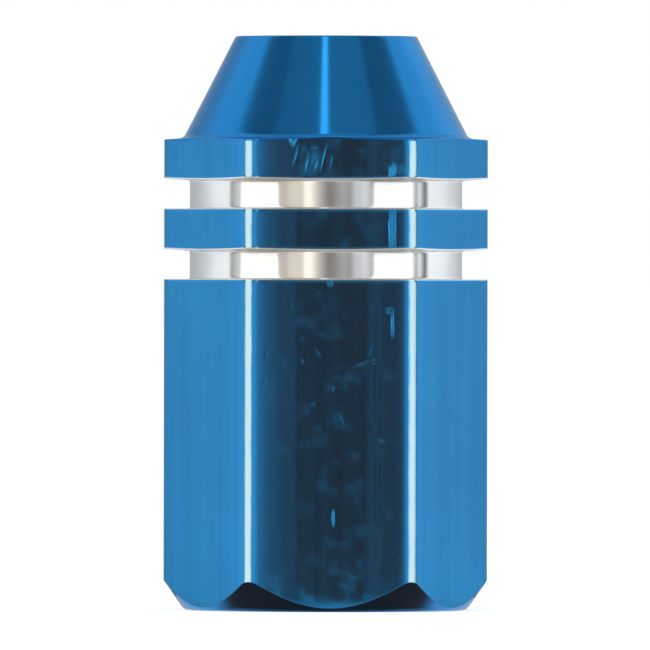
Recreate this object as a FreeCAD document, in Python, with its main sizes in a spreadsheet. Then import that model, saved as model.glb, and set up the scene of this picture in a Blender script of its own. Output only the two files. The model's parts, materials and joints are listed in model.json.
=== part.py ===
import FreeCAD, Part
import math
import os

import Sketcher

# Tyre valve cap turned from hexagon bar. The origin is the centre of the open mouth, and +Z runs up the
# axis to the flat end of the cone. One flat of the hexagon faces -Y, and two corners lie over the X axis.

doc = FreeCAD.newDocument("TyreValveCap")

# Driving dimensions, in millimetres and degrees
dimensions = [
    ("acrossFlats", 10.0, "hexagon bar, flat to flat"),
    ("cornerRadius", 0.6, "rounding of the bar's six long corners"),
    ("bodyLength", 11.5, "mouth to lower groove"),
    ("lowerGrooveWidth", 1.0, "lower groove, along the axis at the flats"),
    ("middleBandWidth", 1.45, "hexagon band between the grooves"),
    ("upperGrooveWidth", 1.0, "upper groove, along the axis at the flats"),
    ("collarWidth", 1.45, "hexagon collar under the cone"),
    ("coneHeight", 3.55, "cone, from the collar's ledge to the flat end"),
    ("grooveDiameter", 9.47, "floor of both grooves"),
    ("grooveWallSlope", 4.0, "rise of each groove's upper wall towards the outside, degrees"),
    ("lipBreak", 0.05, "broken edges of the grooves"),
    ("coneFootDiameter", 9.92, "where the cone would meet the ledge"),
    ("coneTopDiameter", 6.3, "flat end of the cone"),
    ("coneRootRadius", 0.3, "tool nose radius left in the cone's root"),
    ("coneEndRadius", 0.08, "rounded edge of the flat end"),
    ("ledgeSlope", 4.0, "fall of the ledge towards the outside, degrees"),
    ("mouthDiameter", 9.82, "where the mouth's chamfer would meet the rim"),
    ("mouthAngle", 35.0, "mouth's turned chamfer, degrees from the axis"),
    ("rimRadius", 0.3, "rounding between that chamfer and the rim"),
    ("threadBoreDiameter", 6.9, "crests of the valve thread"),
    ("countersinkDiameter", 8.2, "lead-in of the thread, at the mouth"),
    ("countersinkAngle", 90.0, "lead-in of the thread, full angle in degrees"),
    ("countersinkRadius", 0.06, "rounded edge of the lead-in"),
    ("boreDepth", 12.0, "mouth to the seat of the seal"),
    ("undercutDiameter", 8.0, "thread run-out that holds the seal"),
    ("runOutLength", 0.1, "undercut below the seal"),
    ("drillDiameter", 3.0, "drill mark above the seat"),
    ("drillDepth", 0.8, "drill mark, seat to shoulder of the point"),
    ("drillPointAngle", 118.0, "drill mark's point, full angle in degrees"),
    ("sealThickness", 1.3, "rubber ring, along the axis"),
    ("sealClearance", 0.05, "ring to wall of the undercut, on the radius"),
    ("sealHoleDiameter", 3.2, "hole in the rubber ring"),
]

sheet = doc.addObject("Spreadsheet::Sheet", "Dimensions")
for row, (name, value, meaning) in enumerate(dimensions, start=1):
    sheet.set(f"A{row}", name)
    sheet.set(f"B{row}", str(value))
    sheet.set(f"C{row}", meaning)
    sheet.setAlias(f"B{row}", name)
doc.recompute()

# Heights above the mouth, and radii, that follow from the dimensions
lowerGrooveFoot = "Dimensions.bodyLength"
lowerGrooveTop = f"({lowerGrooveFoot} + Dimensions.lowerGrooveWidth)"
upperGrooveFoot = f"({lowerGrooveTop} + Dimensions.middleBandWidth)"
upperGrooveTop = f"({upperGrooveFoot} + Dimensions.upperGrooveWidth)"
ledgeHeight = f"({upperGrooveTop} + Dimensions.collarWidth)"
overallLength = f"({ledgeHeight} + Dimensions.coneHeight)"
grooveRadius = "Dimensions.grooveDiameter / 2"
coneFootRadius = "Dimensions.coneFootDiameter / 2"
coneTopRadius = "Dimensions.coneTopDiameter / 2"
mouthRadius = "Dimensions.mouthDiameter / 2"
leadInRadius = "Dimensions.countersinkDiameter / 2"
sealSeat = "Dimensions.boreDepth"
sealFoot = f"({sealSeat} - Dimensions.sealThickness)"
undercutFoot = f"({sealFoot} - Dimensions.runOutLength)"
undercutRadius = "Dimensions.undercutDiameter / 2"
beyond = "Dimensions.acrossFlats"  # a distance from the axis, or past an end, that clears the metal
flatRadius = "Dimensions.acrossFlats / 2"

# The upper wall of a groove climbs towards the outside, and its height is stated where it meets a flat
wallDrop = f"({flatRadius} - {grooveRadius}) * tan(Dimensions.grooveWallSlope)"
wallClimb = f"({beyond} - {flatRadius}) * tan(Dimensions.grooveWallSlope)"


def measure(expression):
    # The value of an expression with the present dimensions
    result = sheet.evalExpression(expression)
    return float(getattr(result, "Value", result))


def newSketch(body, name, role):
    sketch = body.newObject("Sketcher::SketchObject", name)
    plane = next(item for item in body.Origin.OriginFeatures if item.Role == role)
    sketch.AttachmentSupport = [(plane, "")]
    sketch.MapMode = "FlatFace"
    return sketch


def bind(sketch, constraint, expression):
    index = sketch.addConstraint(constraint)
    sketch.setExpression(f"Constraints[{index}]", expression)


def holdPoint(sketch, geometry, across, up):
    # Ties a point to its distances from the sketch's two axes, where "0" is the axis itself
    if across == "0":
        sketch.addConstraint(Sketcher.Constraint("PointOnObject", geometry, 1, -2))
    else:
        bind(sketch, Sketcher.Constraint("DistanceX", -1, 1, geometry, 1, measure(across)), across)
    if up == "0":
        sketch.addConstraint(Sketcher.Constraint("PointOnObject", geometry, 1, -1))
    else:
        bind(sketch, Sketcher.Constraint("DistanceY", -1, 1, geometry, 1, measure(up)), up)


def drawOutline(sketch, corners):
    # A closed outline through corners given as (across, up), or (across, up, radius) for a rounded one
    points = [FreeCAD.Vector(measure(corner[0]), measure(corner[1]), 0) for corner in corners]
    for k, point in enumerate(points):
        sketch.addGeometry(Part.LineSegment(point, points[(k + 1) % len(points)]))
    for k in range(len(points)):
        sketch.addConstraint(Sketcher.Constraint("Coincident", k - 1 if k else len(points) - 1, 2, k, 1))
    for k, (across, up, *rounding) in enumerate(corners):
        if rounding:
            radius = rounding[0]
            sketch.fillet(k, 1, measure(radius), True, True)
            arc, corner = sketch.GeometryCount - 2, sketch.GeometryCount - 1
            bind(sketch, Sketcher.Constraint("Radius", arc, measure(radius)), radius)
            holdPoint(sketch, corner, across, up)
        else:
            holdPoint(sketch, k, across, up)


def drawCircle(sketch, diameter):
    centre, axis = FreeCAD.Vector(0, 0, 0), FreeCAD.Vector(0, 0, 1)
    circle = sketch.addGeometry(Part.Circle(centre, axis, measure(diameter) / 2))
    sketch.addConstraint(Sketcher.Constraint("Coincident", circle, 3, -1, 1))
    bind(sketch, Sketcher.Constraint("Diameter", circle, measure(diameter)), diameter)


def drawHexagon(sketch, acrossFlats):
    # A regular hexagon about the origin, with two corners on the sketch's X axis
    centre, axis = FreeCAD.Vector(0, 0, 0), FreeCAD.Vector(0, 0, 1)
    reach = measure(acrossFlats) / math.sqrt(3)
    turns = [math.radians(60 * k) for k in range(6)]
    corners = [FreeCAD.Vector(reach * math.cos(turn), reach * math.sin(turn), 0) for turn in turns]
    for k in range(6):
        sketch.addGeometry(Part.LineSegment(corners[k], corners[(k + 1) % 6]))
    circle = sketch.addGeometry(Part.Circle(centre, axis, reach), True)
    sketch.addConstraint(Sketcher.Constraint("Coincident", circle, 3, -1, 1))
    for k in range(6):
        sketch.addConstraint(Sketcher.Constraint("Coincident", k, 2, (k + 1) % 6, 1))
        sketch.addConstraint(Sketcher.Constraint("PointOnObject", k, 1, circle))
        if k > 0:
            sketch.addConstraint(Sketcher.Constraint("Equal", 0, k))
    sketch.addConstraint(Sketcher.Constraint("Horizontal", 1))
    inradius = Sketcher.Constraint("Distance", -1, 1, 1, measure(acrossFlats) / 2)
    bind(sketch, inradius, f"{acrossFlats} / 2")


def setUp(feature, **settings):
    # Settings that speak of the dimensions are bound to them, and the others are set as they are
    for setting, value in settings.items():
        if isinstance(value, str) and "Dimensions." in value:
            feature.setExpression(setting, value)
        else:
            setattr(feature, setting, value)
    doc.recompute()
    return feature


def addFeature(body, kind, name, **settings):
    return setUp(body.newObject(f"PartDesign::{kind}", name), **settings)


def turnAway(body, name, corners):
    # A cut made in the lathe: the outline turned about the Z axis
    sketch = newSketch(body, f"{name}Profile", "XZ_Plane")
    drawOutline(sketch, corners)
    return addFeature(body, "Groove", name, Profile=sketch, ReferenceAxis=(sketch, ["V_Axis"]), Angle=360)


def boreOut(body, name, diameter, depth, **settings):
    # A hole up the axis from the mouth
    sketch = newSketch(body, f"{name}Circle", "XY_Plane")
    drawCircle(sketch, diameter)
    doc.recompute()
    hole = addFeature(body, "Hole", name, Profile=sketch, Reversed=True, DepthType="Dimension")
    return setUp(hole, Diameter=diameter, Depth=depth, **settings)


def edgesOf(feature, wanted):
    names = [f"Edge{index}" for index, edge in enumerate(feature.Shape.Edges, start=1) if wanted(edge)]
    if not names:
        raise RuntimeError(f"{feature.Label} has no such edges")
    return feature, names


def near(value, expression):
    return abs(value - measure(expression)) < 1e-5


def allBetween(edge, low, high):
    heights = [vertex.Z for vertex in edge.Vertexes]
    return min(heights) > measure(low) - 1e-5 and max(heights) < measure(high) + 1e-5


def radii(edge):
    return [math.hypot(vertex.X, vertex.Y) for vertex in edge.Vertexes]


def isBarCorner(edge):
    return abs(edge.Vertexes[0].Z - edge.Vertexes[-1].Z) > measure(overallLength)


def isGrooveLip(edge):
    grooves = ((lowerGrooveFoot, lowerGrooveTop), (upperGrooveFoot, upperGrooveTop))
    onFloor = any(near(radius, grooveRadius) for radius in radii(edge))
    return not onFloor and any(allBetween(edge, foot, f"{top} + {wallClimb}") for foot, top in grooves)


def isLeadInEdge(edge):
    return allBetween(edge, "0", "0") and all(near(radius, leadInRadius) for radius in radii(edge))


def makeCap():
    body = doc.addObject("PartDesign::Body", "CapBody")
    body.Label = "cap_body"

    # Hexagon bar, longer than the cap at both ends until these are faced
    section = newSketch(body, "BarSection", "XY_Plane")
    section.setExpression(".AttachmentOffset.Base.z", f"-{beyond}")
    drawHexagon(section, "Dimensions.acrossFlats")
    bar = addFeature(body, "Pad", "Bar", Profile=section, Length=f"{overallLength} + 2 * {beyond}")
    addFeature(body, "Fillet", "BarCorners", Base=edgesOf(bar, isBarCorner), Radius="Dimensions.cornerRadius")

    # Outside turning: the cone with its flat end, the two grooves, and the mouth with its chamfer
    ledgeFall = f"({beyond} - {coneFootRadius}) * tan(Dimensions.ledgeSlope)"
    turnAway(body, "Cone", [
        ("0", overallLength),
        (coneTopRadius, overallLength, "Dimensions.coneEndRadius"),
        (coneFootRadius, ledgeHeight, "Dimensions.coneRootRadius"),
        (beyond, f"{ledgeHeight} - {ledgeFall}"),
        (beyond, f"{overallLength} + {beyond}"),
        ("0", f"{overallLength} + {beyond}"),
    ])
    for name, foot, top in [
        ("UpperGroove", upperGrooveFoot, upperGrooveTop),
        ("LowerGroove", lowerGrooveFoot, lowerGrooveTop),
    ]:
        grooved = turnAway(body, name, [
            (grooveRadius, foot),
            (beyond, foot),
            (beyond, f"{top} + {wallClimb}"),
            (grooveRadius, f"{top} - {wallDrop}"),
        ])
    lips = edgesOf(grooved, isGrooveLip)
    addFeature(body, "Chamfer", "GrooveLips", Base=lips, Size="Dimensions.lipBreak")
    chamferRise = f"({beyond} - {mouthRadius}) / tan(Dimensions.mouthAngle)"
    turnAway(body, "Mouth", [
        ("0", "0"),
        (mouthRadius, "0", "Dimensions.rimRadius"),
        (beyond, chamferRise),
        (beyond, f"-{beyond}"),
        ("0", f"-{beyond}"),
    ])

    # Inside turning: the thread's bore with its lead-in, the undercut for the seal, and the drill mark
    boreOut(body, "ThreadBore", "Dimensions.threadBoreDiameter", sealSeat, DrillPoint="Flat",
            HoleCutType="Countersink", HoleCutDiameter="Dimensions.countersinkDiameter",
            HoleCutCountersinkAngle="Dimensions.countersinkAngle")
    turnAway(body, "Undercut", [
        ("0", undercutFoot),
        (undercutRadius, undercutFoot),
        (undercutRadius, sealSeat),
        ("0", sealSeat),
    ])
    drilled = boreOut(body, "DrillMark", "Dimensions.drillDiameter", f"{sealSeat} + Dimensions.drillDepth",
                      DrillPoint="Angled", DrillPointAngle="Dimensions.drillPointAngle")
    leadIn = edgesOf(drilled, isLeadInEdge)
    addFeature(body, "Fillet", "LeadInEdge", Base=leadIn, Radius="Dimensions.countersinkRadius")
    return body


def makeSeal():
    body = doc.addObject("PartDesign::Body", "SealRing")
    body.Label = "seal_ring"
    section = newSketch(body, "RingSection", "XY_Plane")
    drawCircle(section, "Dimensions.undercutDiameter - 2 * Dimensions.sealClearance")
    drawCircle(section, "Dimensions.sealHoleDiameter")
    addFeature(body, "Pad", "Ring", Profile=section, Length="Dimensions.sealThickness")
    body.setExpression(".Placement.Base.z", sealFoot)
    return body


pieces = [makeCap(), makeSeal()]
doc.recompute()

for item in doc.Objects:
    if "Invalid" in item.State or "Error" in item.State:
        raise RuntimeError(f"{item.Label} failed: {item.State}")
    if item.TypeId in ("PartDesign::Groove", "PartDesign::Hole"):
        if item.Shape.Volume >= item.BaseFeature.Shape.Volume:
            raise RuntimeError(f"{item.Label} cuts nothing")
for piece in pieces:
    if piece.Shape.isNull() or not piece.Shape.isValid():
        raise RuntimeError(f"{piece.Label} has no valid shape")

os.makedirs("parts", exist_ok=True)
for piece in pieces:
    piece.Shape.exportStep(f"parts/{piece.Label}.step")
    print(f"{piece.Label}: {piece.Shape.Volume:.2f} mm3 with {len(piece.Shape.Faces)} faces")
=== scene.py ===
import json
import math

import bpy
import numpy as np
from mathutils import Matrix, Vector

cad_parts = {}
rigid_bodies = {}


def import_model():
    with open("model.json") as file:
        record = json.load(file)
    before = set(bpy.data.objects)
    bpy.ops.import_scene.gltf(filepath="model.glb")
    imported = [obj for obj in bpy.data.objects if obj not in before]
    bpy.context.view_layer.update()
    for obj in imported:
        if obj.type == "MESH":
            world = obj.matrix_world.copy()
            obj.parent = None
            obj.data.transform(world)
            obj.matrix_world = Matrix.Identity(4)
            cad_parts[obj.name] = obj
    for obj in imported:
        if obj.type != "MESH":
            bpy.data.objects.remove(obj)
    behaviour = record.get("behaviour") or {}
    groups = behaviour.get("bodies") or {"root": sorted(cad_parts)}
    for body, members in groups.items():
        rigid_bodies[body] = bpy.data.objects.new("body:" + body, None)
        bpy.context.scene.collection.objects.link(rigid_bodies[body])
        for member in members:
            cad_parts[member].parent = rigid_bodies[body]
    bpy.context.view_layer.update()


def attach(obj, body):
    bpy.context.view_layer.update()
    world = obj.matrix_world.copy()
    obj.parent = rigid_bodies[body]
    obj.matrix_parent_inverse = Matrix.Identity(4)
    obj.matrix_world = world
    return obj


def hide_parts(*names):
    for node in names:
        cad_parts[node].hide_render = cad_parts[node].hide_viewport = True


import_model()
mm = 0.001
print("frame loaded")

# Sizes of the cap in millimetres and degrees, the same as the CAD's where the CAD has them
cap = {
    "flatDistance": 5.0,        # axis to the middle of a flat
    "cornerRadius": 0.75,       # long corners of the bar, rubbed a little rounder
    "flatRollOff": 0.012,       # how fast a polished flat falls away beside its corners, per mm
    "flatTrueHalf": 1.1,        # half of the width that polishing left flat
    "length": 19.95,
    "coneTopRadius": 3.15,
    "coneFootRadius": 4.96,
    "coneRootRadius": 0.3,
    "ledgeHeight": 16.4,
    "ledgeSlope": 4.0,
    "upperGroove": (13.95, 14.95),
    "lowerGroove": (11.5, 12.5),
    "grooveRadius": 4.735,
    "grooveWallSlope": 4.0,
    "lipBreak": (0.05, 0.025),  # broken edges above and below a groove
    "edgeBreak": 0.035,
    # how far the wear and its painted highlight reach on each flat's corners, front first and then round to the right
    "cornerRubAndHighlight": (0.88, 1.38, 1.0, 1.0, 1.0, 1.26),
    "mouthRadius": 4.91,
    "mouthAngle": 35.0,
    "rimRadius": 0.3,
    "leadInRadius": 4.1,
    "threadRootRadius": 3.875,
    "undercutFoot": 10.6,
    "undercutRadius": 4.0,
    "sealSeat": 12.0,
    "drillRadius": 1.5,
    "drillShoulder": 12.8,
    "drillTip": 13.7,
    "pastCorners": 6.2,         # a radius outside the bar, where its turned cuts start
    "columnsAcrossFlat": 36,
    "columnsRoundCorner": 11,
    # rows of the mesh between its edges: radii on the ends, heights on the body and in the bore, and depths
    # below the edge above them on the cone and the collar
    "endRows": (0.5, 1.2, 2.0, 2.7, 3.02),
    "coneRows": (0.14, 0.6, 1.3, 2.1, 2.8),
    "collarRows": (0.07, 0.12, 0.18, 0.25, 0.33, 0.45, 0.7),
    "bodyRows": (10.4, 9.0, 7.5, 6.0, 4.5, 3.0, 1.9),
    "rimRows": (4.7, 4.4, 4.22),
    "boreRows": (0.4, 2.5, 5.0, 7.5, 10.4),
    "chamferRows": (0.1, 0.025),        # above the chamfer's edge
    "chamferBreak": 0.012,
    "undercutRow": 11.4,
    "seatRows": (3.0, 2.0),
    "drillRow": 12.4,
}

# The small knock in the collar's top edge, on the front flat. It is cut in from "starts" to "full", measured from
# the axis, so that it leaves the ledge behind it alone
nick = {"across": -1.33, "halfWidth": 0.16, "height": 0.3, "depth": 0.055, "starts": 4.9, "full": 4.98, "foot": 15.8,
        "columns": 17, "columnsHalfSpan": 0.29, "columnGap": 0.03}

drawn, turned, bare, faced, dull = range(5)     # the cap's finishes, in the order of its material slots


def barSection():
    # The bar's outline over one sixth of a turn, as (along the flat's normal, across it), with its corner wear and
    # painted highlight
    distance, corner = cap["flatDistance"], cap["cornerRadius"]

    def fall(across):
        past = max(0.0, abs(across) - cap["flatTrueHalf"])
        return cap["flatRollOff"] * past ** 2, 2 * cap["flatRollOff"] * past

    # the place across the flat where the rolled-off flat runs smoothly into the round corner
    low, high = cap["flatTrueHalf"], distance * math.tan(math.radians(30))
    for _ in range(60):
        edge = (low + high) / 2
        drop, slope = fall(edge)
        lean = math.atan(slope)
        along, across = distance - drop - corner * math.cos(lean), edge - corner * math.sin(lean)
        if across / along < math.tan(math.radians(30)):
            low = edge
        else:
            high = edge
    half = [(math.radians(30) * step + lean * (1 - step), step)
            for step in np.linspace(0, 1, cap["columnsRoundCorner"])]
    arc = [(along + corner * math.cos(turn), across + corner * math.sin(turn), step) for turn, step in half]
    flat = [(distance - fall(u)[0], u, 0.0) for u in np.linspace(-edge, edge, cap["columnsAcrossFlat"] + 1)]
    span = nick["columnsHalfSpan"]
    knock = [(distance - fall(u)[0], u, 0.0)
             for u in np.linspace(nick["across"] - span, nick["across"] + span, nick["columns"])]
    mirrored = [(a, -b, w) for a, b, w in arc[:0:-1]]
    return mirrored + flat + arc[1:-1], knock


def columnPlaces():
    # Every column of the cap's mesh: its direction, the bar's radius there and its corner's wear and painted
    # highlight
    section, knock = barSection()
    places = []
    for side in range(6):
        turn = math.radians(-90 + 60 * side)
        points = section
        if side == 0:       # the nick has closer columns of its own
            gap = nick["columnGap"]
            kept = [p for p in section if not knock[0][1] - gap < p[1] < knock[-1][1] + gap]
            points = sorted(kept + knock, key=lambda p: math.atan2(p[1], p[0]))
        for along, across, wearAndHighlight in points:
            rubbedAndHighlighted = wearAndHighlight * cap["cornerRubAndHighlight"][side]
            places.append((turn + math.atan2(across, along), math.hypot(along, across), rubbedAndHighlighted))
    return places


def arcPoints(centre, radius, start, end, count):
    turns = np.radians(np.linspace(start, end, count))
    return [(centre[0] + radius * math.cos(t), centre[1] + radius * math.sin(t)) for t in turns]


def rootPath():
    # Cone, root fillet and ledge, from the cone outwards
    slope = (cap["coneFootRadius"] - cap["coneTopRadius"]) / (cap["length"] - cap["ledgeHeight"])
    coneLean, fall = math.degrees(math.atan(slope)), cap["ledgeSlope"]
    normals = [Vector((math.cos(t), math.sin(t))) for t in (math.radians(coneLean), math.radians(90 - fall))]
    reach = cap["coneRootRadius"] / (1 + normals[0].dot(normals[1]))
    centre = Vector((cap["coneFootRadius"], cap["ledgeHeight"])) + (normals[0] + normals[1]) * reach
    arc = arcPoints(centre, cap["coneRootRadius"], 180 + coneLean, 270 - fall, 25)
    start = (arc[0][0] - 0.12 * slope, arc[0][1] + 0.12)
    out = cap["pastCorners"]
    end = (out, cap["ledgeHeight"] - (out - cap["coneFootRadius"]) * math.tan(math.radians(fall)))
    return np.array([start, *arc, end])


def mouthPath():
    # Rim rounding and the turned chamfer, from the rim outwards
    angle = cap["mouthAngle"]
    length = cap["rimRadius"] * math.tan(math.radians(90 - angle) / 2)
    centre = (cap["mouthRadius"] - length, cap["rimRadius"])
    arc = arcPoints(centre, cap["rimRadius"], -90, -angle, 19)
    out = cap["pastCorners"]
    end = (out, (out - cap["mouthRadius"]) / math.tan(math.radians(angle)))
    return np.array([*arc, end])


def alongUntil(path, reach, count):
    # Evenly spaced points of a path that runs outwards, as far as the bar's own surface
    last = (reach, float(np.interp(reach, path[:, 0], path[:, 1])))
    points = np.array([*[p for p in path if p[0] < reach - 1e-6], last])
    lengths = np.concatenate([[0], np.cumsum(np.hypot(*np.diff(points, axis=0).T))])
    stops = np.linspace(0, lengths[-1], count)
    return [(float(np.interp(s, lengths, points[:, 0])), float(np.interp(s, lengths, points[:, 1]))) for s in stops]


coneToLedge, rimToChamfer = rootPath(), mouthPath()


def grooveStations(groove, reach):
    # One groove, from the lip above it to the lip below it
    foot, top = groove
    rise = math.tan(math.radians(cap["grooveWallSlope"]))
    floor, (upperLip, lowerLip) = cap["grooveRadius"], cap["lipBreak"]
    lipHeight, cornerHeight = (top + (radius - cap["flatDistance"]) * rise for radius in (reach, floor))
    middle = (floor + reach) / 2
    corner, inside, beyond = 0.07, 0.2, 0.14    # the corners' rounding, and rows on the floor and past the lips
    return [
        (reach, lipHeight + beyond, drawn),
        (reach, lipHeight, bare, upperLip, 3),
        (middle, (lipHeight + cornerHeight) / 2, bare),
        (floor, cornerHeight, bare, corner, 4),
        (floor, cornerHeight - inside, bare),
        (floor, foot + inside, bare),
        (floor, foot, bare, corner, 4),
        (middle, foot, bare),
        (reach, foot, bare, lowerLip, 3),
        (reach, foot - beyond, drawn),
    ]


def capStations(reach):
    # The cap's outline where the bar has this radius, from the middle of the flat end to the drill's tip: radius,
    # height, the finish that follows and, where a corner is rounded, the length that takes and its steps
    top, ledge = cap["length"], cap["ledgeHeight"]
    slope = (cap["coneFootRadius"] - cap["coneTopRadius"]) / (top - ledge)
    root = alongUntil(coneToLedge, reach, 18)
    mouth = alongUntil(rimToChamfer, reach, 16)[::-1]
    edgeHeight, chamferTop = root[-1][1], mouth[0][1]
    stations = [(r, top, faced) for r in cap["endRows"]]
    stations += [(cap["coneTopRadius"], top, turned, 0.05, 5)]
    stations += [(cap["coneTopRadius"] + slope * d, top - d, turned) for d in cap["coneRows"]]
    stations += [(r, z, turned) for r, z in root[:-1]]
    stations += [(reach, edgeHeight, turned, cap["edgeBreak"], 3)]
    stations += [(reach, edgeHeight - d, drawn) for d in cap["collarRows"]]
    stations += grooveStations(cap["upperGroove"], reach)
    stations += grooveStations(cap["lowerGroove"], reach)
    stations += [(reach, z, drawn) for z in cap["bodyRows"]]
    # close rows either side of the chamfer's edge keep its shading crisp
    rim = np.array(mouth[0]) + (np.array(mouth[1]) - mouth[0]) * 0.2
    stations += [(reach, chamferTop + d, drawn) for d in cap["chamferRows"]]
    stations += [(reach, chamferTop, dull, cap["chamferBreak"], 3), (rim[0], rim[1], dull)]
    stations += [(r, z, dull) for r, z in mouth[1:]]
    stations += [(r, 0.0, faced) for r in cap["rimRows"]]
    leadIn, root = cap["leadInRadius"], cap["threadRootRadius"]
    stations += [
        (leadIn, 0.0, turned, 0.05, 4),
        ((leadIn + root) / 2, (leadIn - root) / 2, turned),
        (root, leadIn - root, turned, 0.03, 2),
    ]
    stations += [(root, z, turned) for z in cap["boreRows"]]
    foot, under, seat = cap["undercutFoot"], cap["undercutRadius"], cap["sealSeat"]
    drill, shoulder, tip = cap["drillRadius"], cap["drillShoulder"], cap["drillTip"]
    stations += [
        (root, foot, turned, 0.02, 2),
        (under, foot, turned, 0.03, 2),
        (under, cap["undercutRow"], turned),
        (under, seat, turned, 0.08, 3),
        *[(r, seat, turned) for r in cap["seatRows"]],
        (drill, seat, turned, 0.05, 3),
        (drill, cap["drillRow"], turned),
        (drill, shoulder, turned, 0.06, 3),
        (drill * 0.5, (shoulder + tip) / 2, turned),
        (drill * 0.12, tip - (tip - shoulder) * 0.12, turned),
    ]
    return stations


def roundedOutline(stations):
    # Turns the stations into points, with each rounding drawn as a short curve between its neighbours
    points, finishes = [], []
    for k, (radius, height, finish, *rounding) in enumerate(stations):
        corner = np.array((radius, height))
        if not rounding:
            points.append(corner)
            finishes.append(finish)
            continue
        length, steps = rounding
        sides = []
        for other in (stations[k - 1], stations[k + 1]):
            way = np.array(other[:2]) - corner
            distance = np.hypot(*way)
            sides.append(corner + way / distance * min(length, 0.45 * distance))
        for t in np.linspace(0, 1, steps + 1):
            points.append((1 - t) ** 2 * sides[0] + 2 * t * (1 - t) * corner + t ** 2 * sides[1])
            finishes.append(finish)
        if finish == bare and stations[k + 1][2] == drawn:
            finishes[-1] = drawn
    return np.array(points), finishes


def addObject(name, data):
    added = bpy.data.objects.new(name, data)
    bpy.context.scene.collection.objects.link(added)
    return added


def addPiece(name, mesh, materials):
    for material in materials:
        mesh.materials.append(material)
    return addObject(name, mesh)


def skinMesh(name, rings, poles=(), finishes=None, closed=False):
    # A mesh over rings of points in millimetres, ended by a point at each pole or joined back to its first ring
    rows, columns = rings.shape[:2]
    finishes = finishes or [0] * rows
    points = [tuple(p) for p in rings.reshape(-1, 3) * mm] + [tuple(Vector(p) * mm) for p in poles]
    faces, slots = [], []
    for i in range(rows if closed else rows - 1):
        below = (i + 1) % rows
        for j in range(columns):
            beside = (j + 1) % columns
            faces.append((i * columns + j, below * columns + j, below * columns + beside, i * columns + beside))
            slots.append(finishes[i])
    if poles:
        first, last = rows * columns, rows * columns + 1
        for j in range(columns):
            beside = (j + 1) % columns
            faces.append((first, j, beside))
            faces.append((last, (rows - 1) * columns + beside, (rows - 1) * columns + j))
            slots += [finishes[0], finishes[-1]]
    mesh = bpy.data.meshes.new(name)
    mesh.from_pydata(points, [], faces)
    mesh.polygons.foreach_set("material_index", slots)
    mesh.shade_smooth()
    mesh.update()
    return mesh


def turnedRings(outline, columns):
    # The rings that an outline of radii and heights draws round the axis
    turns = np.linspace(0, 2 * math.pi, columns, endpoint=False)
    return np.array([[(r * math.cos(t), r * math.sin(t), z) for t in turns] for r, z in outline])


def capMesh():
    places = columnPlaces()
    outlines = [roundedOutline(capStations(reach)) for _, reach, _ in places]
    finishes = outlines[0][1]
    rows = len(finishes)
    rings = np.zeros((rows, len(places), 3))
    wearAndHighlight = np.zeros((rows, len(places)))
    for j, ((turn, reach, corner), (outline, _)) in enumerate(zip(places, outlines)):
        rings[:, j, 0] = outline[:, 0] * math.cos(turn)
        rings[:, j, 1] = outline[:, 0] * math.sin(turn)
        rings[:, j, 2] = outline[:, 1]
        onBar = np.abs(outline[:, 0] - reach) < 0.03
        wearAndHighlight[:, j] = np.where(onBar, corner, 0.0)
    edge = np.interp(np.hypot(cap["flatDistance"], rings[:, :, 0]), coneToLedge[:, 0], coneToLedge[:, 1])
    away = np.abs(rings[:, :, 0] - nick["across"]) / nick["halfWidth"]
    down = np.abs(edge - rings[:, :, 2]) / nick["height"]
    onEdge = np.clip((-rings[:, :, 1] - nick["starts"]) / (nick["full"] - nick["starts"]), 0, 1)
    onEdge *= rings[:, :, 2] > nick["foot"]
    rings[:, :, 1] += nick["depth"] * onEdge * np.clip(1 - away - down, 0, 1)
    mesh = skinMesh("capBody", rings, [(0, 0, cap["length"]), (0, 0, cap["drillTip"])], finishes)
    # how far each point's corner is rubbed and painted pale as a highlight
    paleCornerAttribute = mesh.attributes.new("cornerWearAndHighlight", "FLOAT", "POINT")
    paleCornerAttribute.data.foreach_set("value", np.append(wearAndHighlight.ravel(), [0, 0]).astype(np.float32))
    return mesh


# Materials

def toLinear(code):
    # sRGB hex to linear colour
    channels = [int(code[k:k + 2], 16) / 255 for k in (1, 3, 5)]
    return (*[c / 12.92 if c <= 0.04045 else ((c + 0.055) / 1.055) ** 2.4 for c in channels], 1.0)


def addNode(tree, kind, links=None, **settings):
    # Adds a node. Links are values, sockets or nodes, by the input's name or number
    node = tree.nodes.new(kind)
    for name, value in settings.items():
        setattr(node, name, value)
    for key, value in (links or {}).items():
        if isinstance(value, bpy.types.Node):
            value = value.outputs[0]
        if isinstance(value, bpy.types.NodeSocket):
            tree.links.new(value, node.inputs[key])
        else:
            node.inputs[key].default_value = value
    return node


usualNoise = (0.3, 0.7)      # most of a noise texture's values lie between these


def startMaterial(name):
    material = bpy.data.materials.new(name)
    material.use_nodes = True
    material.node_tree.nodes.clear()
    return material, material.node_tree


def placeInMm(tree):
    # Where a point is on its piece, in millimetres
    return addNode(tree, "ShaderNodeMapping",
                   {"Vector": addNode(tree, "ShaderNodeTexCoord").outputs["Object"], "Scale": (1 / mm,) * 3})


def endMaterial(tree, surface):
    addNode(tree, "ShaderNodeOutputMaterial", {"Surface": surface})


def oxideAndDust(f):
    # The metal's tint at a slant, the clear oxide on it and the dust on that
    return {
        "Specular Tint": toLinear(f["slantColour"]),
        "Coat Weight": f["oxideWeight"], "Coat Roughness": f["oxideRoughness"], "Coat IOR": f["oxideIOR"],
        "Sheen Weight": f["dustWeight"], "Sheen Roughness": f["dustRoughness"]}


def addSockets(tree, side, kinds):
    for name, kind in kinds.items():
        tree.interface.new_socket(name, in_out=side, socket_type=f"NodeSocket{kind}")


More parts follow.
